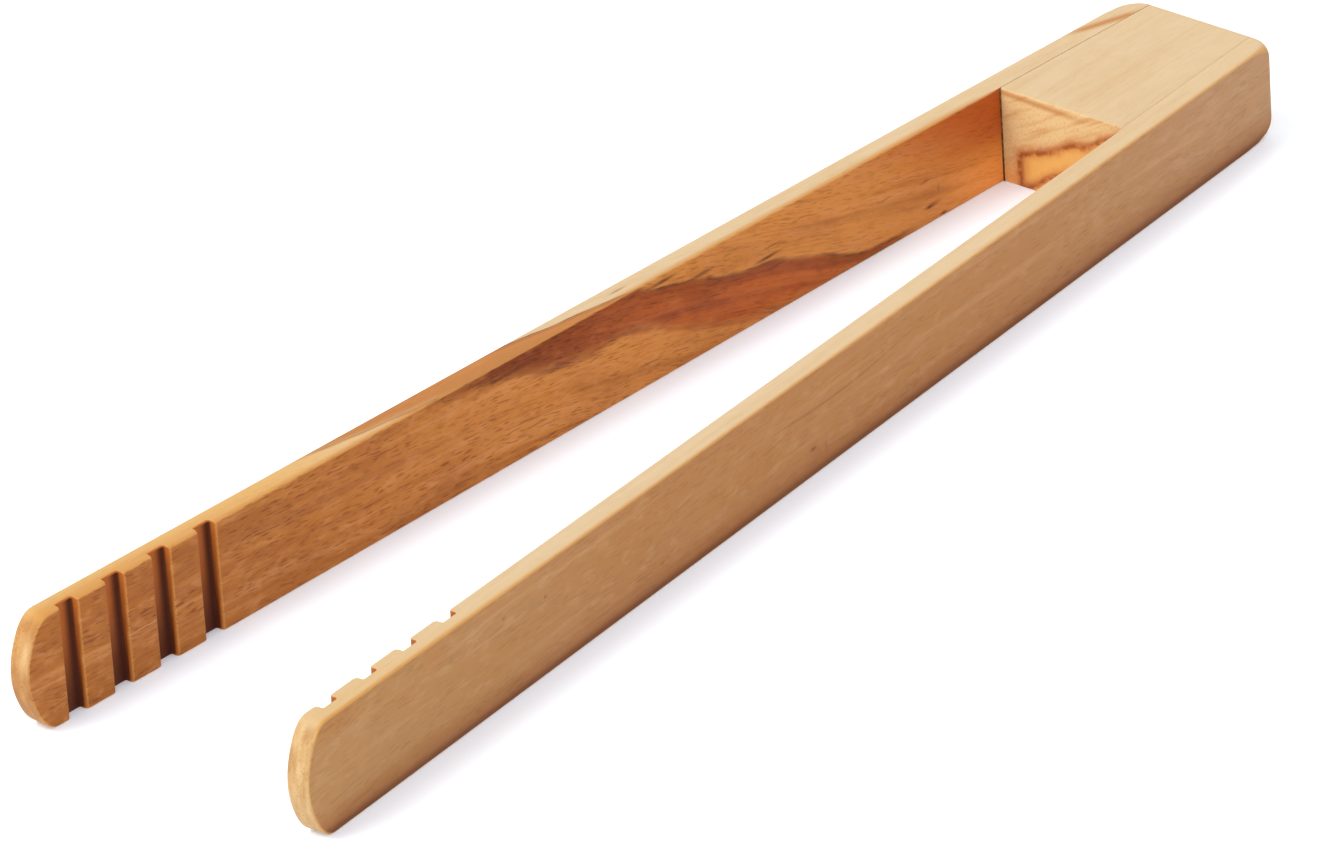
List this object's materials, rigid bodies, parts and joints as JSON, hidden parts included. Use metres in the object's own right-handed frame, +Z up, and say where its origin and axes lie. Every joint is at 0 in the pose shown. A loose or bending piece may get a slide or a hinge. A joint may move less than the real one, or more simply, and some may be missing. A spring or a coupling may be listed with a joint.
{
  "type": "spring-action kitchen tongs",
  "caption": "Wooden kitchen tongs: two springy tapering arms glued to a wedge block at the head, with grip grooves inside the tips.",
  "frame": {"origin": "middle of the footprint, on the surface the tongs stand on: halfway from the rear end to the tips, on the plane of symmetry, at the height of the lower edges of the arms", "axes": "+X from the head to the tips, +Y to the left arm, +Z up, with the blades on edge"},
  "size_m": [0.3, 0.0692, 0.0227],
  "materials": {
    "block_wood": "oiled, satin",
    "left_arm_wood": "oiled, satin",
    "right_arm_wood": "oiled, satin"
  },
  "bodies": {
    "head": {"spacer_block": "block_wood", "left_arm_root": "left_arm_wood", "right_arm_root": "right_arm_wood"},
    "left_arm": {"left_arm_blade": "left_arm_wood"},
    "right_arm": {"right_arm_blade": "right_arm_wood"}
  },
  "joints": [
    {"name": "left_arm_flex", "type": "hinge", "parent": "head", "child": "left_arm", "pos_m": [-0.06808, 0.01921, 0.0102], "axis": [0, 0, -1], "range_deg": [-1.5, 7.7], "stiffness_Nm_per_rad": 29.5},
    {"name": "right_arm_flex", "type": "hinge", "parent": "head", "child": "right_arm", "pos_m": [-0.06808, -0.01921, 0.0102], "axis": [0, 0, 1], "range_deg": [-1.5, 7.7], "stiffness_Nm_per_rad": 29.5}
  ]
}
